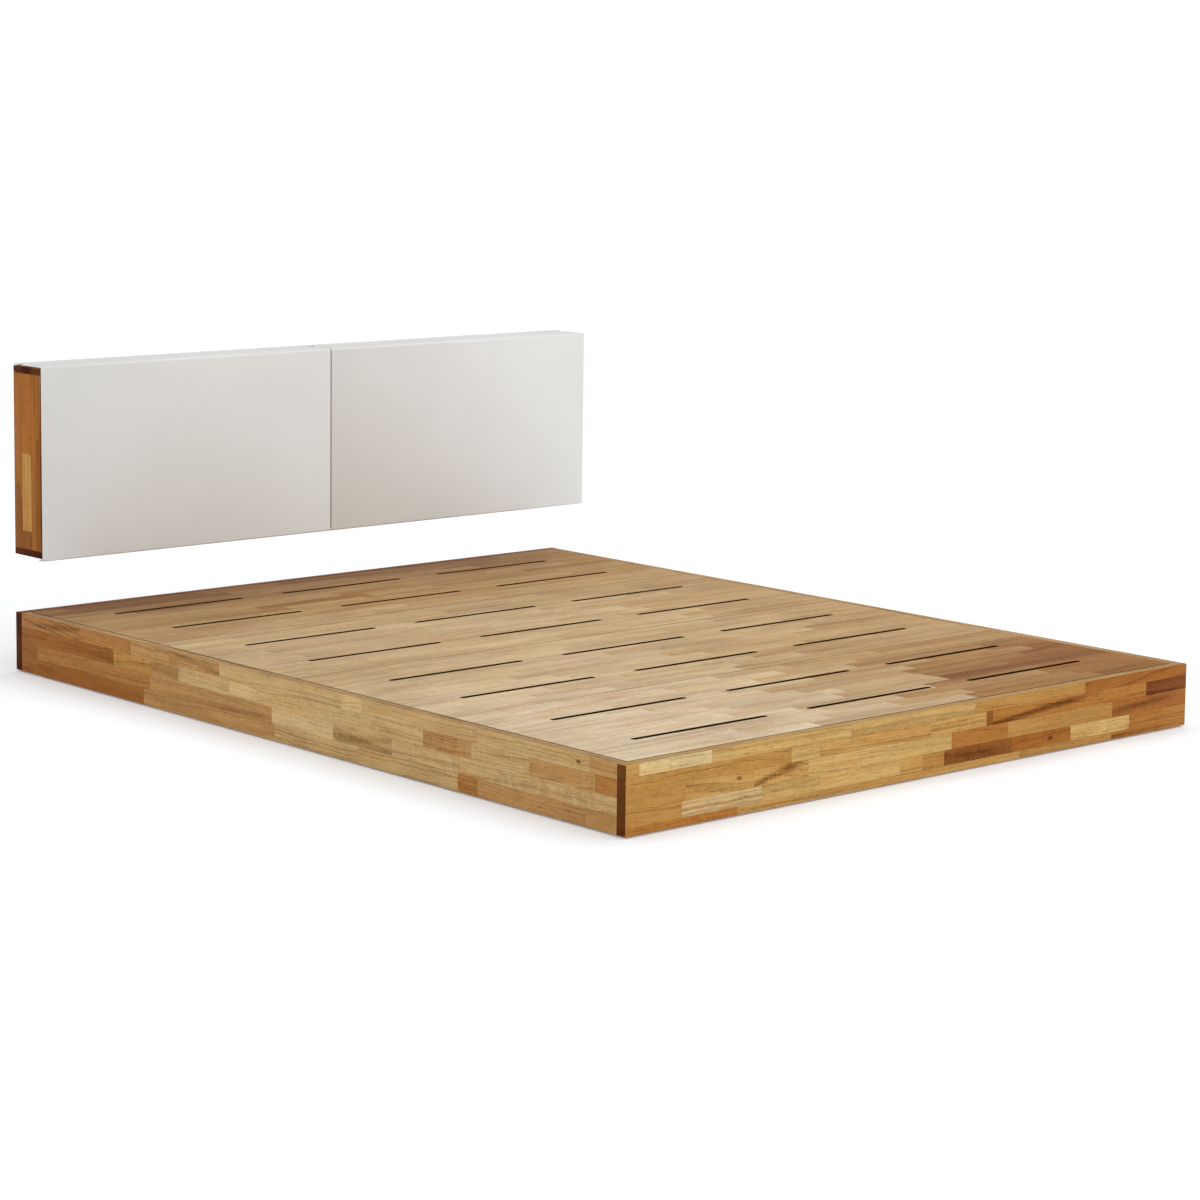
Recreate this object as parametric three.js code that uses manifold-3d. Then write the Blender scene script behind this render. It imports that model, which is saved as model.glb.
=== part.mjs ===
// Low platform bed in butcher-block hardwood, with a wall-hung headboard box above its head end.
// Four slotted deck panels lie flush inside four rails, on cleats and a notched grid of beams.
// The headboard box hangs on a bevelled wall rail, and two folded sheet fronts lift up on it.
// Units are millimetres. +X goes across the bed, +Y towards the head and the wall, +Z up.
// The origin is on the floor, under the middle of the bed.

import * as THREE from 'three';
import { mergeVertices } from 'three/addons/utils/BufferGeometryUtils.js';
import Module from 'manifold-3d';

const wasm = await Module();
wasm.setup();

// ---------------------------------------------------------------- driving dimensions

// The platform
const BED_WIDTH = 1650;
const BED_LENGTH = 2120;
const PLATFORM_HEIGHT = 140;
const RAIL_THICKNESS = 24;
const DECK_THICKNESS = 22;
const PANEL_COUNT = 4;
const DECK_GAP = 2;            // shadow gap round every deck panel
const EDGE_EASE = 1;           // arris taken off the long edges of rails and panels
const SEAT_GAP = 0.3;          // left between pieces that are glued, screwed or set on each other

// The slots that let the mattress breathe
const SLOT_COLUMNS = 3;
const SLOT_WIDTH = 14;
const SLOT_END_MARGIN = 137.5; // from a panel's end to its first slot
const SLOT_SPACING = 115;      // between two slots of a row
const SLOT_EDGE_MARGIN = 140;  // from a panel's long edge to the row's centreline

// Below the deck
const CLEAT_THICKNESS = 28;
const CLEAT_HEIGHT = 45;
const CLEAT_END_ROOM = 12;     // spanner room between a cleat and a corner block
const BLOCK_SIZE = 60;
const BLOCK_CHAMFER = 14;
const BEAM_WIDTH = 36;
const BEAM_HEIGHT = 75;
const CROSS_WIDTH = 32;
const CROSS_HEIGHT = 60;
const LEG_RADIUS = 25;
const LEG_FOOT_RADIUS = 21;
const GLIDE_RADIUS = 19;
const GLIDE_THICKNESS = 3;

// The corner bolts
const BOLT_RADIUS = 4;
const BOLT_HOLE_CLEARANCE = 0.4;
const BOLT_HEAD_RADIUS = 8;
const BOLT_HEAD_HEIGHT = 5;
const BOLT_BITE = 14;          // how far a bolt goes into its rail
const BOLT_END_ROOM = 1;
const LOW_BOLT_HEIGHT = 24;    // above the block's foot
const HIGH_BOLT_HEIGHT = 48;

// The headboard box
const BOX_BOTTOM = 277;        // above the floor
const BOX_HEIGHT = 440;
const HEADBOARD_DEPTH = 120;   // from the wall to the outside of the fronts
const BOARD_THICKNESS = 16;
const BACK_THICKNESS = 6;
const HANGER_THICKNESS = 18;    // both bevelled rails
const HANGER_CLEARANCE = 2;    // between a bevelled rail and what it passes
const HANGER_HEIGHT = 80;
const HANGER_END_ROOM = 40;
const WALL_RAIL_HEIGHT = 78;
const WALL_RAIL_END_ROOM = 60;

// The folded fronts
const FRONT_THICKNESS = 2.5;
const FRONT_GAP = 4;           // between the box's front edges and the sheet
const TOP_GAP = 2;             // between the top board and the sheet above it
const LIP_GAP = 3;             // between the bottom board and the lip under it
const LIP_DEPTH = 19;
const BEND_RADIUS = 4;         // outside of each fold
const FRONT_SEAM = 3;          // between the two fronts

// The continuous hinges on the top board
const AXIS_TO_WALL = 30;
const KNUCKLE_RADIUS = 3;
const KNUCKLE_LENGTH = 62;
const KNUCKLE_GAP = 0.5;
const KNUCKLE_ROOM = 0.6;      // between a knuckle and the other leaf's edge
const PIN_RADIUS = 1.5;
const PIN_CLEARANCE = 0.2;
const LEAF_WIDTH = 27;         // from the axis to a leaf's edge
const HINGE_END_ROOM = 8;
const SHEET_TO_AXIS = 8;       // from the sheet's rear edge to the axis
const STRIP_DEPTH = 20;        // the fixed strip behind the hinges

// The magnets and their plates
const MAGNET_RADIUS = 5;
const MAGNET_HOLE_CLEARANCE = 0.3;
const MAGNET_SEAT = 8;         // how far a magnet is let into the bottom board
const PLATE_THICKNESS = 1.5;
const PLATE_WIDTH = 40;
const PLATE_HEIGHT = 12;

// ---------------------------------------------------------------- worked-out places

const SIDE = BED_WIDTH / 2;                           // outside of a side rail
const END = BED_LENGTH / 2;                           // outside of the foot or head rail
const WALL = END;                                     // the headboard's back is in the same plane
const INNER_SIDE = SIDE - RAIL_THICKNESS;
const INNER_END = END - RAIL_THICKNESS;
const WOOD_BOTTOM = GLIDE_THICKNESS + SEAT_GAP;
const DECK_UNDERSIDE = PLATFORM_HEIGHT - DECK_THICKNESS;
const SUPPORT_TOP = DECK_UNDERSIDE - SEAT_GAP;
const PANEL_LENGTH = 2 * (INNER_SIDE - DECK_GAP);
const PANEL_WIDTH = (2 * INNER_END - (PANEL_COUNT + 1) * DECK_GAP) / PANEL_COUNT;
const PANEL_PITCH = PANEL_WIDTH + DECK_GAP;
const CLEAT_FACE_X = INNER_SIDE - SEAT_GAP - CLEAT_THICKNESS;
const CLEAT_FACE_Y = INNER_END - SEAT_GAP - CLEAT_THICKNESS;
const LAP_LEVEL = SUPPORT_TOP - CROSS_HEIGHT / 2;     // where beam and cross beam meet in a lap

const BOX_TOP = BOX_BOTTOM + BOX_HEIGHT;
const BOX_FRONT = WALL - HEADBOARD_DEPTH + FRONT_THICKNESS + FRONT_GAP;
const INSIDE_BOTTOM = BOX_BOTTOM + BOARD_THICKNESS + SEAT_GAP;
const INSIDE_TOP = BOX_TOP - BOARD_THICKNESS - SEAT_GAP;
const INSIDE_SIDE = SIDE - BOARD_THICKNESS - SEAT_GAP;
const BACK_REAR = WALL - HANGER_THICKNESS - HANGER_CLEARANCE;
const BACK_FRONT = BACK_REAR - BACK_THICKNESS;
const AXIS_Y = WALL - AXIS_TO_WALL;
const AXIS_Z = BOX_TOP + SEAT_GAP + KNUCKLE_RADIUS;
const LEAF_THICKNESS = TOP_GAP - 2 * SEAT_GAP;

// ---------------------------------------------------------------- materials

const finishes = {
  rail: { color: 0xb98447, roughness: 0.45, metalness: 0 },
  deck: { color: 0xcbab82, roughness: 0.45, metalness: 0 },
  board: { color: 0xa5682c, roughness: 0.45, metalness: 0 },
  hidden: { color: 0xc9ad80, roughness: 0.7, metalness: 0 },
  plywood: { color: 0xd2bd97, roughness: 0.7, metalness: 0 },
  white: { color: 0xe4e1dc, roughness: 0.4, metalness: 0 },
  steel: { color: 0x8d8f92, roughness: 0.35, metalness: 1 },
  felt: { color: 0x4a453f, roughness: 1, metalness: 0 },
};

// ---------------------------------------------------------------- shape helpers

const bed = new THREE.Group();

// Adds one named piece to a group, in one of the finishes above.
function piece(group, name, geometry, finish) {
  const mesh = new THREE.Mesh(geometry, new THREE.MeshStandardMaterial(finishes[finish]));
  mesh.name = name;
  group.add(mesh);
  return mesh;
}

// A plain block over three ranges, each given from either end.
function block([xa, xb], [ya, yb], [za, zb]) {
  const geometry = new THREE.BoxGeometry(Math.abs(xb - xa), Math.abs(yb - ya), Math.abs(zb - za));
  return geometry.translate((xa + xb) / 2, (ya + yb) / 2, (za + zb) / 2);
}

// A closed outline through the given points.
function outline(points) {
  return new THREE.Shape(points.map(([a, b]) => new THREE.Vector2(a, b)));
}

// An outline in the XY plane, raised from z0 to z1, with its top and bottom edges eased.
function easedSlab(shape, z0, z1) {
  const options = {
    depth: z1 - z0 - 2 * EDGE_EASE,
    bevelThickness: EDGE_EASE,
    bevelSize: EDGE_EASE,
    bevelOffset: -EDGE_EASE,
    bevelSegments: 1,
    curveSegments: 5,
  };
  return new THREE.ExtrudeGeometry(shape, options).translate(0, 0, z0 + EDGE_EASE);
}

function easedBlock([xa, xb], [ya, yb], [z0, z1]) {
  return easedSlab(outline([[xa, ya], [xb, ya], [xb, yb], [xa, yb]]), z0, z1);
}

// An outline in the YZ plane, drawn out along X from x0 to x1.
function alongX(shape, x0, x1) {
  const options = { depth: x1 - x0, bevelEnabled: false, curveSegments: 5 };
  const turn = new THREE.Matrix4().makeBasis(
    new THREE.Vector3(0, 1, 0),
    new THREE.Vector3(0, 0, 1),
    new THREE.Vector3(1, 0, 0),
  );
  return new THREE.ExtrudeGeometry(shape, options).applyMatrix4(turn).translate(x0, 0, 0);
}

// A round bar with its axis along X, Y or Z, centred on the given point.
function roundBar(radius, length, axis, x, y, z, sides = 16) {
  const geometry = new THREE.CylinderGeometry(radius, radius, length, sides);
  if (axis === 'x') geometry.rotateZ(Math.PI / 2);
  if (axis === 'z') geometry.rotateX(Math.PI / 2);
  return geometry.translate(x, y, z);
}

function toSolid(geometry) {
  const bare = geometry.clone();
  bare.deleteAttribute('normal');
  bare.deleteAttribute('uv');
  const merged = mergeVertices(bare.index ? bare.toNonIndexed() : bare, 1e-4);
  return new wasm.Manifold(new wasm.Mesh({
    numProp: 3,
    vertProperties: new Float32Array(merged.attributes.position.array),
    triVerts: new Uint32Array(merged.index.array),
  }));
}

function toGeometry(solid) {
  const mesh = solid.getMesh();
  const geometry = new THREE.BufferGeometry();
  geometry.setAttribute('position', new THREE.BufferAttribute(mesh.vertProperties, 3));
  geometry.setIndex(new THREE.BufferAttribute(mesh.triVerts, 1));
  geometry.computeVertexNormals();
  return geometry;
}

function cut(geometry, ...tools) {
  return toGeometry(tools.reduce((solid, tool) => solid.subtract(toSolid(tool)), toSolid(geometry)));
}

function join(geometry, ...others) {
  return toGeometry(others.reduce((solid, other) => solid.add(toSolid(other)), toSolid(geometry)));
}

// ---------------------------------------------------------------- the platform

// The four corners of the frame: which way each lies from the middle.
const corners = [
  { name: 'foot_left', sx: -1, sy: -1 },
  { name: 'foot_right', sx: 1, sy: -1 },
  { name: 'head_left', sx: -1, sy: 1 },
  { name: 'head_right', sx: 1, sy: 1 },
];

const BLOCK_CENTRE_X = INNER_SIDE - SEAT_GAP - BLOCK_SIZE / 2;
const BLOCK_CENTRE_Y = INNER_END - SEAT_GAP - BLOCK_SIZE / 2;
const LOW_BOLT_Z = WOOD_BOTTOM + LOW_BOLT_HEIGHT;
const HIGH_BOLT_Z = WOOD_BOTTOM + HIGH_BOLT_HEIGHT;
const BOLT_HOLE_RADIUS = BOLT_RADIUS + BOLT_HOLE_CLEARANCE;
const HOLE_DEPTH = BOLT_BITE + BOLT_END_ROOM;
const RAIL_HEIGHTS = [WOOD_BOTTOM, PLATFORM_HEIGHT];

// The foot and head rails run the full width. Each takes two bolts from the corner blocks.
function endRail(sy) {
  const inner = sy * INNER_END;
  const rail = easedBlock([-SIDE, SIDE], [inner, sy * END], RAIL_HEIGHTS);
  const holes = [-1, 1].map((sx) => roundBar(
    BOLT_HOLE_RADIUS, 2 * HOLE_DEPTH, 'y', sx * BLOCK_CENTRE_X, inner, LOW_BOLT_Z,
  ));
  return cut(rail, ...holes);
}

// The side rails stand between the foot and head rails.
function sideRail(sx) {
  const inner = sx * INNER_SIDE;
  const reach = INNER_END - SEAT_GAP;
  const rail = easedBlock([inner, sx * SIDE], [-reach, reach], RAIL_HEIGHTS);
  const holes = [-1, 1].map((sy) => roundBar(
    BOLT_HOLE_RADIUS, 2 * HOLE_DEPTH, 'x', inner, sy * BLOCK_CENTRE_Y, HIGH_BOLT_Z,
  ));
  return cut(rail, ...holes);
}

// One slot, with the half-round ends that its cutter leaves.
function slotPath(x0, x1, y) {
  const r = SLOT_WIDTH / 2;
  const path = new THREE.Path();
  path.moveTo(x0 + r, y - r);
  path.lineTo(x1 - r, y - r);
  path.absarc(x1 - r, y, r, -Math.PI / 2, Math.PI / 2, false);
  path.lineTo(x0 + r, y + r);
  path.absarc(x0 + r, y, r, Math.PI / 2, 1.5 * Math.PI, false);
  return path;
}

// A deck panel: two rows of slots, each row the same distance from its long edge.
function deckPanel(y0) {
  const half = PANEL_LENGTH / 2;
  const y1 = y0 + PANEL_WIDTH;
  const shape = outline([[-half, y0], [half, y0], [half, y1], [-half, y1]]);
  const free = PANEL_LENGTH - 2 * SLOT_END_MARGIN - (SLOT_COLUMNS - 1) * SLOT_SPACING;
  const slotLength = free / SLOT_COLUMNS;
  for (const y of [y0 + SLOT_EDGE_MARGIN, y1 - SLOT_EDGE_MARGIN]) {
    for (let column = 0; column < SLOT_COLUMNS; column += 1) {
      const x0 = -half + SLOT_END_MARGIN + column * (slotLength + SLOT_SPACING);
      shape.holes.push(slotPath(x0, x0 + slotLength, y));
    }
  }
  return easedSlab(shape, DECK_UNDERSIDE, PLATFORM_HEIGHT);
}

// A corner block, its inner corner chamfered, drilled once towards each of its two rails.
function cornerBlock({ sx, sy }) {
  const h = BLOCK_SIZE / 2;
  const c = h - BLOCK_CHAMFER;
  const points = [[h, h], [-h, h], [-h, -c], [-c, -h], [h, -h]];
  const shape = outline(points.map(([x, y]) => [sx * x, sy * y]));
  const options = { depth: SUPPORT_TOP - WOOD_BOTTOM, bevelEnabled: false };
  const body = new THREE.ExtrudeGeometry(shape, options);
  body.translate(sx * BLOCK_CENTRE_X, sy * BLOCK_CENTRE_Y, WOOD_BOTTOM);
  const through = 2 * BLOCK_SIZE;
  return cut(
    body,
    roundBar(BOLT_HOLE_RADIUS, through, 'y', sx * BLOCK_CENTRE_X, sy * BLOCK_CENTRE_Y, LOW_BOLT_Z),
    roundBar(BOLT_HOLE_RADIUS, through, 'x', sx * BLOCK_CENTRE_X, sy * BLOCK_CENTRE_Y, HIGH_BOLT_Z),
  );
}

// A flange bolt along +Y, its head's underside at y = 0.
function boltShape() {
  const reach = BLOCK_SIZE + 2 * SEAT_GAP + BOLT_BITE;
  const profile = [
    [0, -BOLT_HEAD_HEIGHT],
    [BOLT_HEAD_RADIUS * 0.72, -BOLT_HEAD_HEIGHT],
    [BOLT_HEAD_RADIUS, -BOLT_HEAD_HEIGHT * 0.4],
    [BOLT_HEAD_RADIUS, 0],
    [BOLT_RADIUS, 0],
    [BOLT_RADIUS, reach - 1],
    [BOLT_RADIUS - 1, reach],
    [0, reach],
  ];
  return new THREE.LatheGeometry(profile.map(([r, y]) => new THREE.Vector2(r, y)), 16);
}

// A turned centre leg under the beam, narrower at its foot.
function centreLeg(y) {
  const top = SUPPORT_TOP - BEAM_HEIGHT - SEAT_GAP;
  const ease = 2;
  const profile = [
    [0, WOOD_BOTTOM],
    [LEG_FOOT_RADIUS - ease, WOOD_BOTTOM],
    [LEG_FOOT_RADIUS, WOOD_BOTTOM + ease],
    [LEG_RADIUS, top - ease],
    [LEG_RADIUS, top],
    [0, top],
  ];
  const leg = new THREE.LatheGeometry(profile.map(([r, z]) => new THREE.Vector2(r, z)), 24);
  return leg.rotateX(Math.PI / 2).translate(0, y, 0);
}

function glide(x, y) {
  return roundBar(GLIDE_RADIUS, GLIDE_THICKNESS, 'z', x, y, GLIDE_THICKNESS / 2, 24);
}

const platform = new THREE.Group();
bed.add(platform);
piece(platform, 'foot_rail', endRail(-1), 'rail');
piece(platform, 'head_rail', endRail(1), 'rail');
piece(platform, 'side_rail_left', sideRail(-1), 'rail');
piece(platform, 'side_rail_right', sideRail(1), 'rail');

const seams = [];
for (let index = 0; index < PANEL_COUNT; index += 1) {
  const y0 = -INNER_END + DECK_GAP + index * PANEL_PITCH;
  piece(platform, `deck_panel_${index + 1}`, deckPanel(y0), 'deck');
  if (index > 0) seams.push(y0 - DECK_GAP / 2);
}

for (const corner of corners) {
  const { name, sx, sy } = corner;
  const x = sx * BLOCK_CENTRE_X;
  const y = sy * BLOCK_CENTRE_Y;
  const headOffset = BLOCK_SIZE / 2 + SEAT_GAP;
  piece(platform, `corner_block_${name}`, cornerBlock(corner), 'hidden');
  piece(platform, `glide_${name}`, glide(x, y), 'felt');
  const endBolt = piece(platform, `bolt_end_${name}`, boltShape(), 'steel');
  endBolt.rotation.z = sy > 0 ? 0 : Math.PI;
  endBolt.position.set(x, y - sy * headOffset, LOW_BOLT_Z);
  const sideBolt = piece(platform, `bolt_side_${name}`, boltShape(), 'steel');
  sideBolt.rotation.z = sx > 0 ? -Math.PI / 2 : Math.PI / 2;
  sideBolt.position.set(x - sx * headOffset, y, HIGH_BOLT_Z);
}

// The cleats stop short of the corner blocks, so that a spanner reaches the bolts.
const CLEAT_REACH_X = BLOCK_CENTRE_X - BLOCK_SIZE / 2 - CLEAT_END_ROOM;
const CLEAT_REACH_Y = BLOCK_CENTRE_Y - BLOCK_SIZE / 2 - CLEAT_END_ROOM;
const CLEAT_HEIGHTS = [SUPPORT_TOP - CLEAT_HEIGHT, SUPPORT_TOP];
for (const [name, s] of [['left', -1], ['right', 1]]) {
  const faces = [s * CLEAT_FACE_X, s * (CLEAT_FACE_X + CLEAT_THICKNESS)];
  const cleat = block(faces, [-CLEAT_REACH_Y, CLEAT_REACH_Y], CLEAT_HEIGHTS);
  piece(platform, `side_cleat_${name}`, cleat, 'hidden');
}
for (const [name, s] of [['foot', -1], ['head', 1]]) {
  const faces = [s * CLEAT_FACE_Y, s * (CLEAT_FACE_Y + CLEAT_THICKNESS)];
  const cleat = block([-CLEAT_REACH_X, CLEAT_REACH_X], faces, CLEAT_HEIGHTS);
  piece(platform, `${name}_cleat`, cleat, 'hidden');
}

// The centre beam and the cross beams lap into each other under the deck's seams.
// The beam is notched from above, the cross beams from below, each to half a cross beam's height.
const beamReach = CLEAT_FACE_Y - SEAT_GAP;
const crossReach = CLEAT_FACE_X - SEAT_GAP;
const crossBottom = SUPPORT_TOP - CROSS_HEIGHT;
const across = (y, margin) => [y - CROSS_WIDTH / 2 - margin, y + CROSS_WIDTH / 2 + margin];
const along = (margin) => [-BEAM_WIDTH / 2 - margin, BEAM_WIDTH / 2 + margin];

const beam = block(along(0), [-beamReach, beamReach], [SUPPORT_TOP - BEAM_HEIGHT, SUPPORT_TOP]);
const beamNotches = seams.map((y) => block(
  along(BEAM_WIDTH), across(y, SEAT_GAP), [LAP_LEVEL, SUPPORT_TOP + CROSS_HEIGHT],
));
piece(platform, 'centre_beam', cut(beam, ...beamNotches), 'hidden');

seams.forEach((y, index) => {
  const bar = block([-crossReach, crossReach], across(y, 0), [crossBottom, SUPPORT_TOP]);
  const notch = block(
    along(SEAT_GAP), across(y, CROSS_WIDTH), [crossBottom - CROSS_HEIGHT, LAP_LEVEL + SEAT_GAP],
  );
  piece(platform, `cross_beam_${index + 1}`, cut(bar, notch), 'hidden');
  piece(platform, `centre_leg_${index + 1}`, centreLeg(y), 'hidden');
  piece(platform, `glide_centre_${index + 1}`, glide(0, y), 'felt');
});

// ---------------------------------------------------------------- the headboard box

const headboard = new THREE.Group();
bed.add(headboard);

// The top and bottom boards run the full width, and the end panels stand between them.
const MAGNET_X = SIDE / 2;
const MAGNET_Z = BOX_BOTTOM + BOARD_THICKNESS / 2;
const PLATE_Y = WALL - HEADBOARD_DEPTH + FRONT_THICKNESS + SEAT_GAP;
const MAGNET_FACE = PLATE_Y + PLATE_THICKNESS + SEAT_GAP;
const magnetHoles = [-1, 1].map((sx) => roundBar(
  MAGNET_RADIUS + MAGNET_HOLE_CLEARANCE, 2 * (MAGNET_SEAT + SEAT_GAP), 'y',
  sx * MAGNET_X, BOX_FRONT, MAGNET_Z,
));
const boxDepths = [BOX_FRONT, WALL];
const insideHeights = [INSIDE_BOTTOM, INSIDE_TOP];
const topBoard = easedBlock([-SIDE, SIDE], boxDepths, [BOX_TOP - BOARD_THICKNESS, BOX_TOP]);
const bottomBoard = easedBlock([-SIDE, SIDE], boxDepths, [BOX_BOTTOM, BOX_BOTTOM + BOARD_THICKNESS]);
piece(headboard, 'box_top_board', topBoard, 'board');
piece(headboard, 'box_bottom_board', cut(bottomBoard, ...magnetHoles), 'board');
for (const [name, s] of [['left', -1], ['right', 1]]) {
  const panel = block([s * SIDE, s * (SIDE - BOARD_THICKNESS)], boxDepths, insideHeights);
  piece(headboard, `box_end_${name}`, panel, 'board');
}

// The divider and the thin back panel.
const dividerWidth = [-BOARD_THICKNESS / 2, BOARD_THICKNESS / 2];
const divider = block(dividerWidth, [BOX_FRONT, BACK_FRONT - SEAT_GAP], insideHeights);
const back = block([-INSIDE_SIDE, INSIDE_SIDE], [BACK_FRONT, BACK_REAR], insideHeights);
piece(headboard, 'box_divider', divider, 'board');
piece(headboard, 'box_back', back, 'plywood');

// The hanging rail's lower edge and the wall rail's upper edge are bevelled at 45 degrees.
// The hanging rail drops behind the wall rail's raised front edge.
const hangerRear = BACK_REAR + SEAT_GAP + HANGER_THICKNESS;
const hangerBottom = INSIDE_TOP - HANGER_HEIGHT;
const hangerShape = outline([
  [BACK_REAR + SEAT_GAP, hangerBottom + HANGER_THICKNESS],
  [hangerRear, hangerBottom],
  [hangerRear, INSIDE_TOP],
  [BACK_REAR + SEAT_GAP, INSIDE_TOP],
]);
const hangerReach = SIDE - BOARD_THICKNESS - HANGER_END_ROOM;
piece(headboard, 'hanging_rail', alongX(hangerShape, -hangerReach, hangerReach), 'board');

const wallRailFront = WALL - HANGER_THICKNESS;
const bevelDrop = wallRailFront - (BACK_REAR + SEAT_GAP) + SEAT_GAP * Math.SQRT2;
const wallRailFrontTop = hangerBottom + HANGER_THICKNESS - bevelDrop;
const wallRailBottom = wallRailFrontTop - WALL_RAIL_HEIGHT;
const wallRailShape = outline([
  [wallRailFront, wallRailBottom],
  [WALL, wallRailBottom],
  [WALL, wallRailFrontTop - HANGER_THICKNESS],
  [wallRailFront, wallRailFrontTop],
]);
const wallRailReach = SIDE - BOARD_THICKNESS - WALL_RAIL_END_ROOM;
piece(platform, 'wall_rail', alongX(wallRailShape, -wallRailReach, wallRailReach), 'board');

// The fixed strip behind the hinges, level with the fronts' top.
const stripBottom = BOX_TOP + TOP_GAP;
const stripHeights = [stripBottom, stripBottom + FRONT_THICKNESS];
const strip = block([-SIDE, SIDE], [WALL - STRIP_DEPTH, WALL], stripHeights);
piece(headboard, 'rear_strip', strip, 'white');

// ---------------------------------------------------------------- the lift-up fronts

// One sheet, folded twice: a top flange to the hinge, the front, and a short lip underneath.
function frontShape() {
  const t = FRONT_THICKNESS;
  const outer = BEND_RADIUS;
  const inner = BEND_RADIUS - t;
  const front = WALL - HEADBOARD_DEPTH;
  const top = BOX_TOP + TOP_GAP + t;
  const bottom = BOX_BOTTOM - LIP_GAP - t;
  const rear = AXIS_Y - SHEET_TO_AXIS;
  const shape = new THREE.Shape();
  shape.moveTo(rear, top);
  shape.lineTo(front + outer, top);
  shape.absarc(front + outer, top - outer, outer, Math.PI / 2, Math.PI, false);
  shape.lineTo(front, bottom + outer);
  shape.absarc(front + outer, bottom + outer, outer, Math.PI, 1.5 * Math.PI, false);
  shape.lineTo(front + LIP_DEPTH, bottom);
  shape.lineTo(front + LIP_DEPTH, bottom + t);
  shape.lineTo(front + outer, bottom + t);
  shape.absarc(front + outer, bottom + outer, inner, 1.5 * Math.PI, Math.PI, true);
  shape.lineTo(front + t, top - outer);
  shape.absarc(front + outer, top - outer, inner, Math.PI, Math.PI / 2, true);
  shape.lineTo(rear, top - t);
  return shape;
}

// One leaf of a continuous hinge: a plate and the knuckles with an even or an odd place.
// side is 1 for the fixed leaf, behind the axis, and -1 for the moving leaf, in front of it.
function hingeLeaf(x0, x1, side) {
  const count = 2 * Math.floor((x1 - x0) / (2 * KNUCKLE_LENGTH)) + 1;
  const pitch = (x1 - x0) / count;
  const bottom = AXIS_Z - KNUCKLE_RADIUS;
  const plateNear = AXIS_Y + side * (KNUCKLE_RADIUS + KNUCKLE_ROOM);
  const plateHeights = [bottom, bottom + LEAF_THICKNESS];
  const plate = block([x0, x1], [plateNear, AXIS_Y + side * LEAF_WIDTH], plateHeights);
  const first = side > 0 ? 0 : 1;
  const added = [];
  for (let index = first; index < count; index += 2) {
    const from = x0 + index * pitch + KNUCKLE_GAP / 2;
    const to = x0 + (index + 1) * pitch - KNUCKLE_GAP / 2;
    added.push(roundBar(KNUCKLE_RADIUS, to - from, 'x', (from + to) / 2, AXIS_Y, AXIS_Z, 12));
    added.push(block([from, to], [AXIS_Y, plateNear + side * KNUCKLE_ROOM], plateHeights));
  }
  const bore = roundBar(
    PIN_RADIUS + PIN_CLEARANCE, 2 * (x1 - x0), 'x', (x0 + x1) / 2, AXIS_Y, AXIS_Z, 12,
  );
  return cut(join(plate, ...added), bore);
}

for (const [name, s] of [['left', -1], ['right', 1]]) {
  const [x0, x1] = [s * FRONT_SEAM / 2, s * SIDE].sort((a, b) => a - b);
  const hingeStart = x0 + HINGE_END_ROOM;
  const hingeEnd = x1 - HINGE_END_ROOM;
  piece(headboard, `front_${name}`, alongX(frontShape(), x0, x1), 'white');
  piece(headboard, `hinge_fixed_${name}`, hingeLeaf(hingeStart, hingeEnd, 1), 'steel');
  piece(headboard, `hinge_moving_${name}`, hingeLeaf(hingeStart, hingeEnd, -1), 'steel');
  const pin = roundBar(
    PIN_RADIUS, hingeEnd - hingeStart, 'x', (hingeStart + hingeEnd) / 2, AXIS_Y, AXIS_Z, 12,
  );
  piece(headboard, `hinge_pin_${name}`, pin, 'steel');
  const magnetLength = BOX_FRONT + MAGNET_SEAT - MAGNET_FACE;
  const magnet = roundBar(
    MAGNET_RADIUS, magnetLength, 'y',
    s * MAGNET_X, MAGNET_FACE + magnetLength / 2, MAGNET_Z,
  );
  piece(headboard, `magnet_${name}`, magnet, 'steel');
  const plate = new THREE.BoxGeometry(PLATE_WIDTH, PLATE_THICKNESS, PLATE_HEIGHT);
  plate.translate(s * MAGNET_X, PLATE_Y + PLATE_THICKNESS / 2, MAGNET_Z);
  piece(headboard, `magnet_plate_${name}`, plate, 'steel');
}

export default bed;
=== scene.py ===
import math
import random

import bmesh
import bpy
from mathutils import Matrix, Vector


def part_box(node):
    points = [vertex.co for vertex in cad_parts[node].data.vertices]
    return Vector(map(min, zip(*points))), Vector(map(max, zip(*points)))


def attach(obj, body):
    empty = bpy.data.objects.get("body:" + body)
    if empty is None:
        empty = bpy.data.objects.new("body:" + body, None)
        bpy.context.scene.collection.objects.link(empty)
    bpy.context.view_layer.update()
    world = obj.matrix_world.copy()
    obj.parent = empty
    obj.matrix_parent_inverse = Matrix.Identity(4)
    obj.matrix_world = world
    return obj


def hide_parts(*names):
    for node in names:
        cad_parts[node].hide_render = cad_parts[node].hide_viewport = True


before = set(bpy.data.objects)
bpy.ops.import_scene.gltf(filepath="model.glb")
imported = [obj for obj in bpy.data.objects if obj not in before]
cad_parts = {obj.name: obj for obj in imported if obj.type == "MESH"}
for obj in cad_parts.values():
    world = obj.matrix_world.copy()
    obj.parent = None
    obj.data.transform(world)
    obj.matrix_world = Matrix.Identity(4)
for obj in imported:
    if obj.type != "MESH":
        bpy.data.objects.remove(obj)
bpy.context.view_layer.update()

MM = 0.001

# ------------------------------------------------------------------ the studio
# A pale, faintly glowing floor that runs out of sight, a white sky that dims overhead, one wide
# soft sun to the right of the foot end, and a lamp over the bed that faces the headboard.

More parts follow.
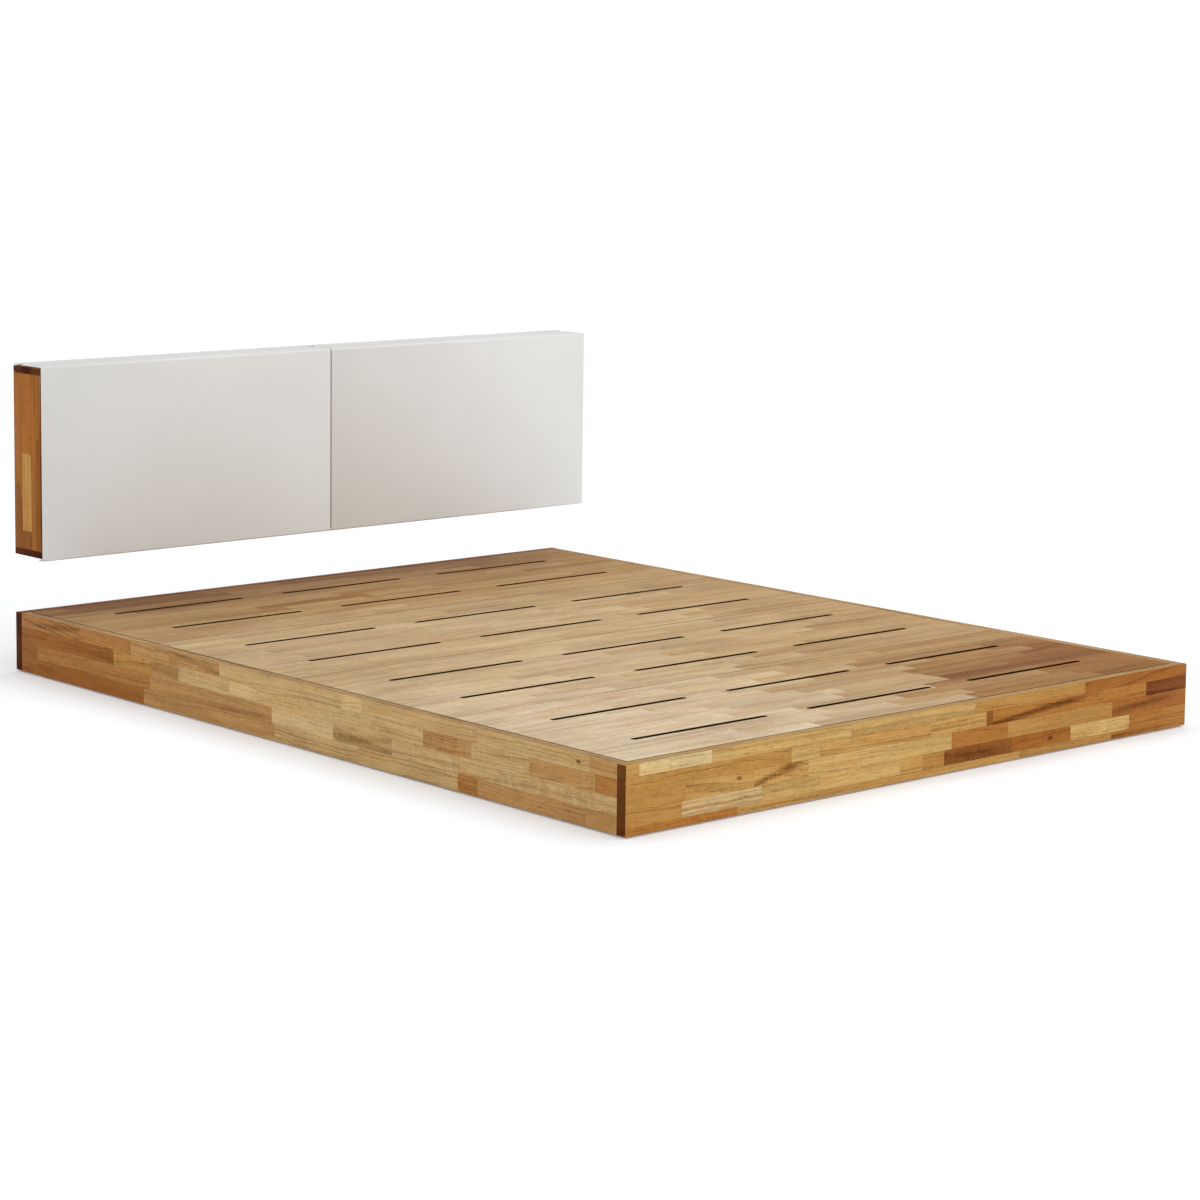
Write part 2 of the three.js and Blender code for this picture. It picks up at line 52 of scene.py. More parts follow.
WHITE = (1, 1, 1, 1)
FLOOR_COLOUR = (0.91, 0.94, 0.975, 1)
FLOOR_GLOW = 0.14
FLOOR_REACH = 60
SKY_AT_HORIZON = 1.03
SKY_OVERHEAD = 0.72
SKY_DIMS_FROM = 0.03
SKY_DIMS_TO = 0.3
SUN_STRENGTH = 0.9
SUN_SPREAD = 100
SUN_PLACE = Vector((1.2, -1.5, 3.5))
SUN_TARGET = Vector((0, 0, 0))
LAMP_POWER = 6.5
LAMP_WIDTH = 1.2
LAMP_PLACE = Vector((0.5, -0.5, 1.6))
LAMP_TARGET = Vector((0.3, 1.0, 0.5))
CAMERA_SENSOR = 36
CAMERA_LENS = 97.386
CAMERA_SHIFT = -0.109
CAMERA_REACH = 200
CAMERA_PLACE = Vector((-4.78123, -5.41021, 1.43581))
CAMERA_RIGHT = Vector((0.746991, -0.664728, 0.011839))
CAMERA_BACK = Vector((-0.660616, -0.740133, 0.125658))


class Reading:
    """A number that changes over a surface, so that sums on it can be written out plainly."""

    def __init__(self, recipe, socket):
        self.recipe = recipe
        self.socket = socket

    def sum(self, operation, first, second):
        node = self.recipe.node("ShaderNodeMath", {"operation": operation}, {0: first, 1: second})
        return Reading(self.recipe, node.outputs[0])

    def __add__(self, other):
        return self.sum("ADD", self, other)

    def __mul__(self, other):
        return self.sum("MULTIPLY", self, other)

    def __sub__(self, other):
        return self.sum("SUBTRACT", self, other)

    def __rsub__(self, other):
        return self.sum("SUBTRACT", other, self)

    def __truediv__(self, other):
        return self.sum("DIVIDE", self, other)

    def __pow__(self, other):
        return self.sum("POWER", self, other)

    def __abs__(self):
        return self.sum("ABSOLUTE", self, 0.0)

    __radd__ = __add__
    __rmul__ = __mul__

    def least(self, other):
        return self.sum("MINIMUM", self, other)

    def fraction(self):
        return self.sum("FRACT", self, 0.0)

    def ramp(self, low, high):
        """0 below low and 1 above high, with a soft step between; low above high turns it round."""
        if low > high:
            return 1 - self.ramp(high, low)
        ends = {"Value": self, "From Min": low, "From Max": high}
        node = self.recipe.node("ShaderNodeMapRange", {"interpolation_type": "SMOOTHSTEP"}, ends)
        return Reading(self.recipe, node.outputs[0])


class Recipe:
    """One node tree, for a finish or for a shape."""

    def __init__(self, tree):
        self.tree = tree
        tree.nodes.clear()

    def node(self, kind, settings=None, sockets=None):
        made = self.tree.nodes.new(kind)
        for name, value in (settings or {}).items():
            setattr(made, name, value)
        for name, value in (sockets or {}).items():
            if isinstance(name, int):
                socket = made.inputs[name]
            else:
                socket = next(s for s in made.inputs if s.name == name and s.enabled)
            if isinstance(value, Reading):
                value = value.socket
            if isinstance(value, bpy.types.NodeSocket):
                self.tree.links.new(value, socket)
            else:
                socket.default_value = value
        return made

    def vector(self, x, y, z):
        return self.node("ShaderNodeCombineXYZ", {}, {0: x, 1: y, 2: z}).outputs[0]

    def split(self, socket):
        parts = self.node("ShaderNodeSeparateXYZ", {}, {0: socket}).outputs
        return [Reading(self, part) for part in parts]

    def noise(self, vector, scale=1.0, detail=2.0, warp=0.0):
        sockets = {"Vector": vector, "Scale": scale, "Detail": detail, "Distortion": warp}
        return Reading(self, self.node("ShaderNodeTexNoise", {}, sockets).outputs[0])

    def mix(self, amount, first, second, way="MIX"):
        settings = {"data_type": "RGBA", "blend_type": way}
        node = self.node("ShaderNodeMix", settings, {0: amount, 6: first, 7: second})
        return node.outputs[2]

    def tinted(self, tone, tint):
        return self.mix(1.0, tone, tint, "MULTIPLY")


def finish_recipe(name):
    """An empty finish with its shader: gives the material, its recipe and the shader node."""
    material = bpy.data.materials.new(name)
    material.use_nodes = True
    recipe = Recipe(material.node_tree)
    shader = recipe.node("ShaderNodeBsdfPrincipled")
    recipe.node("ShaderNodeOutputMaterial", {}, {"Surface": shader.outputs[0]})
    return material, recipe, shader


def set_shader(recipe, shader, **values):
    for name, value in values.items():
        socket = shader.inputs[name.replace("_", " ")]
        if isinstance(value, Reading):
            value = value.socket
        if isinstance(value, bpy.types.NodeSocket):
            recipe.tree.links.new(value, socket)
        else:
            socket.default_value = value


def colour(red, green, blue):
    """A colour as it looks on a screen, 0 to 255, turned into light."""
    parts = [part / 255 for part in (red, green, blue)]
    return [p / 12.92 if p < 0.04045 else ((p + 0.055) / 1.055) ** 2.4 for p in parts] + [1.0]


floor_mesh = bpy.data.meshes.new("floor")
floor_corners = [(-1, -1, 0), (1, -1, 0), (1, 1, 0), (-1, 1, 0)]
floor_mesh.from_pydata([Vector(c) * FLOOR_REACH for c in floor_corners], [], [(0, 1, 2, 3)])
floor = bpy.data.objects.new("floor", floor_mesh)
bpy.context.scene.collection.objects.link(floor)
floor_paint, floor_recipe, floor_shader = finish_recipe("floor_paint")
set_shader(
    floor_recipe, floor_shader, Base_Color=FLOOR_COLOUR, Roughness=0.9,
    Emission_Color=WHITE, Emission_Strength=FLOOR_GLOW,
)
floor_mesh.materials.append(floor_paint)

sky = bpy.data.worlds.new("sky")
sky.use_nodes = True
sky_recipe = Recipe(sky.node_tree)
height = sky_recipe.split(sky_recipe.node("ShaderNodeTexCoord").outputs["Generated"])[2]
dimming = height.ramp(SKY_DIMS_FROM, SKY_DIMS_TO)
glow = SKY_AT_HORIZON + (SKY_OVERHEAD - SKY_AT_HORIZON) * dimming
dome = sky_recipe.node("ShaderNodeBackground", {}, {"Color": WHITE, "Strength": glow})
sky_recipe.node("ShaderNodeOutputWorld", {}, {"Surface": dome.outputs[0]})
bpy.context.scene.world = sky
bpy.context.scene.view_settings.view_transform = "Standard"

sun_data = bpy.data.lights.new("soft_sun", "SUN")
sun_data.energy = SUN_STRENGTH
sun_data.angle = math.radians(SUN_SPREAD)
lamp_data = bpy.data.lights.new("front_lamp", "AREA")
lamp_data.size = LAMP_WIDTH
lamp_data.energy = LAMP_POWER
for light, place, target in (
    (sun_data, SUN_PLACE, SUN_TARGET),
    (lamp_data, LAMP_PLACE, LAMP_TARGET),
):
    lamp = bpy.data.objects.new(light.name, light)
    lamp.location = place
    lamp.rotation_euler = (target - place).to_track_quat("-Z", "Y").to_euler()
    bpy.context.scene.collection.objects.link(lamp)

camera_data = bpy.data.cameras.new("camera")
camera_data.sensor_width = CAMERA_SENSOR
camera_data.lens = CAMERA_LENS
camera_data.shift_y = CAMERA_SHIFT
camera_data.clip_end = CAMERA_REACH
camera = bpy.data.objects.new("camera", camera_data)
bpy.context.scene.collection.objects.link(camera)
camera_right = CAMERA_RIGHT.normalized()
camera_back = CAMERA_BACK.normalized()
camera_up = camera_back.cross(camera_right)
camera_turn = Matrix((camera_right, camera_up, camera_back)).transposed()
camera.matrix_world = Matrix.LocRotScale(CAMERA_PLACE, camera_turn, None)
bpy.context.scene.camera = camera

# ------------------------------------------------------------------ foot rail
# A 24 mm butcher-block board: staves of mixed heartwood and sapwood, 20 to 35 mm high, glued
# edge to edge and butted end to end, planed flush, oiled, with its arrises rubbed round.

TONES = {
    "pale": (206, 180, 128),
    "straw": (197, 160, 98),
    "honey": (189, 146, 82),
    "amber": (178, 131, 68),
    "fawn": (201, 170, 120),
    "tan": (190, 156, 105),
    "nut": (177, 134, 81),
    "umber": (168, 116, 60),
    "walnut": (150, 94, 38),
    "chestnut": (170, 113, 50),
    "russet": (158, 98, 40),
    "brown": (136, 81, 31),
    "dark": (126, 69, 24),
}
PLAIN_FIGURE = 0.25

# Each stave is (where it ends, tone, figure, slope of its grain, heart streak). A heart streak is
# (height at its start, height at its end, strength), with heights as a share of the stave's.
FOOT_ROWS = (
    (25, ((33, "honey"), (220, "pale", 0.8), (600, "straw", 0.3, 0.02), (963, "straw", 0.15),
          (1309, "amber", 0.3, 0.03), (1650, "russet", 0.3, -0.14))),
    (54.5, ((100, "amber", 1.0), (343, "amber", 0.8), (433, "amber", 0.4, 0.12), (512, "straw"),
            (830, "honey", 0.2), (998, "honey", 0.2), (1018, "brown"),
            (1370, "chestnut", 0.5, 0.05, (-0.1, 0.9, 1.0)), (1513, "chestnut", 0.2),
            (1650, "dark", 0.3, 0.0, (0.1, 0.0, 0.7)))),
    (89, ((153, "amber", 0.5, -0.09), (333, "honey", 0.6, 0.1, (0.8, 0.1, 0.35)),
          (480, "honey", 0.9, 0.16, (0.1, 1.0, 0.75)), (817, "straw", 0.15), (893, "straw", 0.1),
          (1065, "chestnut", 0.3, 0.12), (1400, "amber", 0.2),
          (1650, "russet", 0.6, 0.04, (0.3, 0.7, 0.6)))),
    (120.5, ((143, "amber", 0.3), (353, "fawn", 0.5), (513, "straw", 0.2), (743, "straw", 0.2),
             (807, "honey"), (872, "amber", 0.3), (1077, "brown", 1.0, 0.05, (0.6, 0.2, 0.6)),
             (1265, "russet", 0.5, -0.06), (1458, "straw", 0.9), (1650, "chestnut", 0.2))),
    (140, ((290, "chestnut", 0.5), (707, "honey", 0.4, 0.02, (0.3, 0.6, 0.3)), (1103, "honey", 0.15),
           (1400, "amber", 0.5, 0.03), (1650, "chestnut", 0.7, 0.03, (0.4, 0.6, 0.5)))),
)
FOOT_KNOTS = ((-0.532, 0.0755, 0.006), (0.375, 0.034, 0.007))

ARRIS = 0.45 * MM
ARRIS_STEPS = 2
WELD = 1e-5
FLAT_WITHIN = math.radians(0.5)
END_ROOM = 2 * MM                # a stave that ends nearer the board's end than this runs out to it


def merged_copy(node):
    """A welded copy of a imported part's mesh, its flat faces whole again."""
    work = bmesh.new()
    work.from_mesh(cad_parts[node].data)
    bmesh.ops.remove_doubles(work, verts=work.verts, dist=WELD)
    bmesh.ops.dissolve_limit(
        work, angle_limit=FLAT_WITHIN, verts=work.verts, edges=work.edges,
    )
    return work


def add_piece(work, name, body, finish, node=None, arris=ARRIS, facets=25):
    """Turns a worked mesh into a finished piece with rubbed edges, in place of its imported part."""
    mesh = bpy.data.meshes.new(name)
    work.to_mesh(mesh)
    work.free()
    mesh.materials.clear()
    mesh.materials.append(finish)
    mesh.shade_smooth()
    made = bpy.data.objects.new(name, mesh)
    bpy.context.scene.collection.objects.link(made)
    if arris:
        ease = made.modifiers.new("eased_edges", "BEVEL")
        ease.width = arris
        ease.segments = ARRIS_STEPS
        ease.limit_method = "ANGLE"
        ease.angle_limit = math.radians(facets)
        ease.harden_normals = True
    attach(made, body)
    if node:
        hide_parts(node)
    return made


def tone_of(name):
    return TONES[name] if isinstance(name, str) else name


def cut_staves(work, along, up, rows, draw):
    """Cuts a board along its glue lines and gives each face its stave's nature.

    along and up are the axes of the grain and of the stack of rows, which counts from the
    board's high edge downwards. Stave ends count from the board's low end."""
    low = [min(v.co[axis] for v in work.verts) for axis in range(3)]
    high = [max(v.co[axis] for v in work.verts) for axis in range(3)]
    level = [high[up] - row[0] * MM for row in rows]
    level[-1] = low[up]
    planes = Vector([axis == up for axis in range(3)])
    for cut in level[:-1]:
        everything = list(work.verts) + list(work.edges) + list(work.faces)
        bmesh.ops.bisect_plane(work, geom=everything, plane_co=planes * cut, plane_no=planes)
    butts = Vector([axis == along for axis in range(3)])
    tops = [high[up]] + level[:-1]
    staves = []
    for top, bottom, (_, row) in zip(tops, level, rows):
        start = low[along]
        for stave in row:
            end = low[along] + stave[0] * MM
            if end < high[along] - END_ROOM:
                faces = [f for f in work.faces if bottom < f.calc_center_median()[up] < top]
                parts = set(faces)
                for face in faces:
                    parts.update(face.edges)
                    parts.update(face.verts)
                bmesh.ops.bisect_plane(work, geom=list(parts), plane_co=butts * end, plane_no=butts)
            else:
                end = high[along]
            figure = stave[2] if len(stave) > 2 else PLAIN_FIGURE
            slope = stave[3] if len(stave) > 3 else draw.uniform(-0.03, 0.03)
            heart = stave[4] if len(stave) > 4 else (0, 0, 0)
            grain = (draw.random(), figure, slope)
            staves.append((start, end, bottom, top, colour(*tone_of(stave[1]))[:3], grain, heart))
            start = end
    return staves, low, high


def mark_staves(mesh, staves, low, high, along, up, painted_shade_tone):
    """Writes each face's stave onto it: tone, grain, heart streak and the stave's two ends.

    The last argument, if given, is a painted shade tone for the walls of the openings and for the outer
    edges."""
    names = ("stave_tone", "stave_grain", "stave_heart", "stave_from", "stave_to")
    layers = [mesh.attributes.new(name, "FLOAT_VECTOR", "FACE") for name in names]
    thick = 3 - along - up
    for face in mesh.polygons:
        u, v = face.center[along], face.center[up]
        found = next((s for s in staves if s[0] <= u <= s[1] and s[2] <= v <= s[3]), staves[0])
        start, end, bottom, top, tone, grain, heart = found
        # the walls of the openings and the outer edges take a painted shade, for the shade in slots and
        # gaps
        if painted_shade_tone and abs(face.normal[thick]) < 0.5:
            tone = colour(*painted_shade_tone)[:3]
        near, far = [-9.0] * 3, [9.0] * 3
        near[along], far[along], near[up], far[up] = start, end, bottom, top
        near[thick], far[thick] = low[thick], high[thick]
        for layer, value in zip(layers, (tone, grain, heart, near, far)):
            layer.data[face.index].vector = value


def staved_board(
    node, along, up, rows, seed, finish, body="platform", work=None, arris=ARRIS, painted_shade_tone=None,
):
    """A butcher-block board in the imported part's shape, laid up from the given rows."""
    draw = random.Random(seed)
    work = work or merged_copy(node)
    staves, low, high = cut_staves(work, along, up, rows, draw)
    board = add_piece(work, node + "_board", body, finish, node, arris)
    mark_staves(board.data, staves, low, high, along, up, painted_shade_tone)


# How far each mark takes the wood from its bright tone, at 0, towards its deep one, at 1.
GROUND_DEPTH = 0.1
MOTTLE_DEPTH = 0.6
RING_DEPTH = 0.36
FIBRE_DEPTH = 0.7
PORE_DEPTH = 0.3
CURL_DEPTH = 0.6
FLECK_DEPTH = 0.2
EVEN_DEPTH = 0.2                 # what a quieter wood settles towards
END_GRAIN_DEPTH = 0.6
KNOT_DEPTH = 0.75
STREAK_DEPTH = 0.75
GLUE_DEPTH = 0.35
RAY_DEPTH = 0.3
GLUE_LINE = (0.45 * MM, 0.1 * MM)
DEEP_TINT = (0.36, 0.25, 0.145, 1)
BRIGHT_TINT = (1.16, 1.2, 1.24, 1)
RED_TINT = (1.02, 0.88, 0.7, 1)
END_GRAIN_TINT = (0.7, 0.6, 0.48, 1)
OIL_GLOSS = 0.07


def wood(name, along, up, knots=(), ring_pitch=2.9, oil=0.5, plain=None, strength=1.0, clouds=0.0):
    """Solid wood round its own heart: rings, fibres, pores, rays, heart streaks, knots, end grain.

    plain gives one tone for a piece without staves, and clouds blotches that run across them."""
    material, recipe, shader = finish_recipe(name)
    places = recipe.node("ShaderNodeTexCoord").outputs
    at = recipe.split(places["Object"])
    facing = recipe.split(places["Normal"])
    thick = 3 - along - up
    u, v, w = at[along], at[up], at[thick]
    if plain:
        tone = recipe.vector(*colour(*plain)[:3])
        seed, figure, slope = 0.37, 0.2, 0.01
        v_from = u_from = w_from = 0.0
    else:
        def stave(part):
            return recipe.node("ShaderNodeAttribute", {"attribute_name": "stave_" + part}).outputs
        tone = stave("tone")["Vector"]
        seed, figure, slope = recipe.split(stave("grain")["Vector"])
        start = recipe.split(stave("from")["Vector"])
        end = recipe.split(stave("to")["Vector"])
        u_from, v_from, w_from = start[along], start[up], start[thick]
    run = u + seed * 9.0

    def cloud(lengthwise, crosswise, detail=2.0, warp=0.0):
        vector = recipe.vector(run * lengthwise, v * crosswise, w * crosswise + seed * 40.0)
        return recipe.noise(vector, detail=detail, warp=warp)

    # The heart lies below or beside the stave, and the rings wander along its length.
    bend = (cloud(3.6, 9) - 0.5) * 0.024 + (cloud(24, 20) - 0.5) * 0.008 * figure
    heart_v = (seed * 7.13).fraction() * 0.12 - 0.03 if not plain else 0.03
    heart_w = (seed * 13.7).fraction() * 0.05 + 0.02 if not plain else 0.05
    up_out = v - v_from + heart_v + (u - u_from) * slope + bend
    side_out = w - w_from + heart_w
    radius = (up_out * up_out + side_out * side_out) ** 0.5

    knot = None
    for knot_u, knot_v, knot_r in knots:
        du = (u - knot_u) / (knot_r * 1.7)
        dv = (v - knot_v) / knot_r
        near = (du * du + dv * dv) ** 0.5
        mark = near.ramp(1.0, 0.35)
        radius = radius + near.ramp(3.2, 0.0) * knot_r * 0.5
        knot = mark if knot is None else knot + mark

    pitch = 1.0 / (ring_pitch * MM)
    rings = recipe.noise(recipe.vector(radius * pitch, seed * 31.0 + run * 0.4, 0.0), detail=3.0)
    lines = rings.ramp(0.5, 0.66)
    fibres = cloud(9, 420, 3.0)
    pores = cloud(60, 1500, 0.0).ramp(0.62, 0.72)
    mottle = cloud(5, 24, 2.0, 0.6)
    curl = (cloud(34, 22, 2.0, 0.8) - 0.5) * figure
    rays = cloud(230, 75, 0.0).ramp(0.66, 0.76) * figure
    flecks = cloud(45, 210, 2.0, 1.2).ramp(0.5, 0.72)
    redness = cloud(8, 34, 3.0, 1.0).ramp(0.42, 0.68) * 0.55

    depth = GROUND_DEPTH + (mottle - 0.5) * MOTTLE_DEPTH + lines * RING_DEPTH
    depth = depth + (fibres - 0.5) * FIBRE_DEPTH + pores * PORE_DEPTH + curl * CURL_DEPTH
    depth = depth + flecks * FLECK_DEPTH
    depth = (depth - EVEN_DEPTH) * strength + EVEN_DEPTH
    if clouds:
        blotch = recipe.vector(u * 3.0, v * 9.0, w * 9.0)
        depth = depth + (recipe.noise(blotch, detail=4.0, warp=0.8) - 0.5) * clouds
    end_grain = abs(facing[along]).ramp(0.75, 0.9)
    depth = depth + end_grain * END_GRAIN_DEPTH
    if knot is not None:
        depth = depth + knot * KNOT_DEPTH
    if not plain:
        share_u = (u - u_from) / (end[along] - u_from)
        share_v = (v - v_from) / (end[up] - v_from)
        heart_from, heart_to, heart_force = recipe.split(stave("heart")["Vector"])
        middle = heart_from + (heart_to - heart_from) * (share_u ** 0.7) + (mottle - 0.5) * 0.25
        streak = abs(share_v - middle).ramp(0.34, 0.06) * share_u.ramp(1.05, 0.6)
        depth = depth + streak * heart_force * STREAK_DEPTH
        to_butt = (u - u_from).least(end[along] - u)
        to_glue_line = (v - v_from).least(end[up] - v)
        glue = to_butt.least(to_glue_line).ramp(*GLUE_LINE)
        depth = depth + glue * GLUE_DEPTH
    depth = depth - rays * RAY_DEPTH

    deep = recipe.tinted(tone, DEEP_TINT)
    bright = recipe.tinted(tone, BRIGHT_TINT)
    shown = recipe.mix(depth, bright, deep)
    shown = recipe.mix(redness, shown, recipe.tinted(shown, RED_TINT))
    shown = recipe.mix(end_grain, shown, recipe.tinted(shown, END_GRAIN_TINT))
    rough = lines * 0.08 + pores * 0.2 + end_grain * 0.15 + (mottle - 0.5) * 0.1 + oil
    height = fibres * 0.5 - lines * 0.25 - pores * 1.0
    bump = recipe.node(
        "ShaderNodeBump", {}, {"Strength": 0.25, "Distance": 0.12 * MM, "Height": height},
    )
    set_shader(recipe, shader, Base_Color=shown, Roughness=rough, Normal=bump.outputs[0])
    set_shader(recipe, shader, Specular_IOR_Level=OIL_GLOSS)
    return material


across_wood = wood("oiled_staves_across", 0, 2, FOOT_KNOTS)
staved_board("foot_rail", 0, 2, FOOT_ROWS, 11, across_wood)


def random_rows(seed, length, heights, tones, shortest=140, longest=520, liveliness=0.5):
    """Rows of staves as they come off the pile."""
    draw = random.Random(seed)
    rows = []
    for height in heights:
        row, place = [], draw.uniform(0.3, 1.0) * longest
        while place < length - shortest:
            row.append(place)
            place += draw.uniform(shortest, longest)
        ends = row + [length]
        rows.append((height, tuple(
            (end, draw.choice(tones), draw.random() ** 2 * 2 * liveliness, draw.uniform(-0.08, 0.08),
             (draw.random(), draw.random(), 0.5 * (draw.random() > 0.85)))
            for end in ends
        )))
    return tuple(rows)


# ------------------------------------------------------------------ head rail
# The same 24 mm butcher-block board as the foot rail, across the wall end. It is laid up mostly
# from dark brown staves and bolted to its corner blocks like the others.

HEAD_TONES = ("russet", "brown", "umber", "chestnut", "walnut", "dark")
HEAD_HEIGHTS = (24, 53, 84, 113, 140)
head_rows = random_rows(5, 1650, HEAD_HEIGHTS, HEAD_TONES)
staved_board("head_rail", 0, 2, head_rows, 12, across_wood)

# ------------------------------------------------------------------ side rails
# They stand between the foot and head rails, so that those rails' dark end grain shows at the
# corners. The left one is greyer and quieter, and runs browner and darker towards the head.

LEFT_ROWS = (
    (31, ((78, "nut", 0.3), (409, "tan", 0.4), (776, "tan", 0.3, 0.02), (846, "fawn", 0.4, 0.1),
          (1276, "tan", 0.3), (1466, "nut", 0.5, 0.0, (0.2, 0.9, 0.4)), (1616, "nut", 0.7),
          (1826, "umber", 0.4, -0.1), (2072, "umber", 0.5, -0.1, (0.9, 0.2, 0.5)))),
    (66, ((61, "umber", 0.4), (176, "nut", 0.8, 0.1), (251, "nut", 0.4, 0.05), (426, "tan", 0.8, 0.06),
          (576, "nut", 1.0), (716, "tan", 0.3), (1139, "tan", 0.3, 0.03), (1241, "fawn", 0.1),
          (1431, "tan", 0.2), (1531, "nut", 0.3), (1686, "amber", 0.4, 0.1),
          (1966, "walnut", 0.4, 0.03, (0.2, 0.7, 0.35)), (2072, "walnut", 0.3))),
    (101, ((461, "tan", 0.8, 0.03), (676, "tan", 0.3), (871, "tan", 0.5, -0.12, (0.9, 0.2, 0.4)),
           (1086, "fawn", 0.2), (1541, "nut", 0.3, 0.02, (0.3, 0.05, 0.35)), (1786, "umber", 0.3),
           (2004, "umber", 0.3), (2072, "walnut", 0.3))),
    (137, ((86, "nut", 0.4), (406, "nut", 0.5), (466, "umber", 0.4), (786, "tan", 0.3),
           (1076, "tan", 0.3), (1566, "nut", 0.3, 0.03), (1936, "walnut", 0.4), (2072, "walnut", 0.4))),
)
LEFT_KNOTS = ((-0.927, 0.124, 0.006),)

along_wood = wood("oiled_staves_along", 1, 2, LEFT_KNOTS)
staved_board("side_rail_left", 1, 2, LEFT_ROWS, 21, along_wood)
RIGHT_TONES = (
    "pale", "straw", "straw", "honey", "honey", "amber", "tan", "tan", "nut", "chestnut", "russet",
    "brown",
)
RIGHT_HEIGHTS = (29, 60, 92, 115, 137)
right_rows = random_rows(8, 2071, RIGHT_HEIGHTS, RIGHT_TONES)
staved_board("side_rail_right", 1, 2, right_rows, 22, along_wood)

# ------------------------------------------------------------------ deck panels
# Four loose panels of paler, quieter staves lie on the cleats, flush with the rails; their paleness
# against the rails is partly wood tone and partly a painted sheen on the top. Each has two rows
# of three routed slots, right through, that let the mattress breathe, and their walls and the
# panels' edges carry a painted shade.

SLOT_WIDTH = 14
SLOT_SPACING = 115
SLOT_END_MARGIN = 137.5
SLOT_EDGE_MARGIN = 140
PANEL_EASE = 0.4
SLOT_COLUMNS = 3
SLOT_ROWS = 2
PANEL_PITCH = 518                # from one panel's foot edge to the next one's
STAVE_HEIGHT = 43
STAVE_ROWS = 12
FIRST_STAVE = (60, 520)
STAVE_LENGTH = (200, 460)
LAST_JOINT = 1500
PANEL_END = 1600
JOINT_SEED = 40
GRAIN_SEED = 50
SLOT_SHADE_TONE = (44, 21, 4)     # painted shade in the slots and along the panels' edges
# pale, greyed wood tones; how pale they run against the rails is partly a painted sheen on the deck's
# top
DECK_TONES = (
    (190, 163, 126), (188, 161, 120), (186, 159, 119), (191, 165, 124), (183, 155, 115),
)
# mixed in towards the foot's left corner as a painted sheen
PALE_DECK_TONES = ((213, 192, 161), (211, 190, 158), (215, 194, 163))
# mixed in where the staves run browner; towards the head end partly as painted shade
BROWN_DECK_TONES = ((144, 94, 38), (136, 86, 31), (151, 102, 44), (127, 78, 27))
deck_wood = wood("oiled_deck_staves", 0, 1, ring_pitch=3.4, oil=0.52, strength=0.55, clouds=0.65)


def smooth(value, low, high):
    share = min(1, max(0, (value - low) / (high - low)))
    return share * share * (3 - 2 * share)


def blend(first, second, share):
    return tuple(a + (b - a) * share for a, b in zip(first, second))


def deck_tone_shade_and_sheen(across, along):
    """How brown and how pale the staves run, across from the left and along from the foot.

    They run browner towards the foot's right corner, to the right and towards the head end; towards
    the head end, and most under the headboard at its left, the browning is partly painted shade.
    Paler towards the foot's left corner is a painted sheen."""
    brown = max(
        smooth(across, 750, 1450) * smooth(along, 720, 150),
        0.25 * smooth(across, 600, 1100) * smooth(along, 1050, 600),
        # browner towards the head end, partly painted shade
        0.5 * smooth(along, 1350, 1800),
        0.25 * smooth(across, 900, 1500),
    )
    # painted shade under the headboard, strongest at the head end's left
    brown += 0.4 * smooth(along, 1900, 2060) * smooth(abs(across - 450), 900, 100)
    # the second share, paler towards the foot's left corner, is a painted sheen
    return brown, smooth(across, 1000, 150) * smooth(along, 1100, 250)


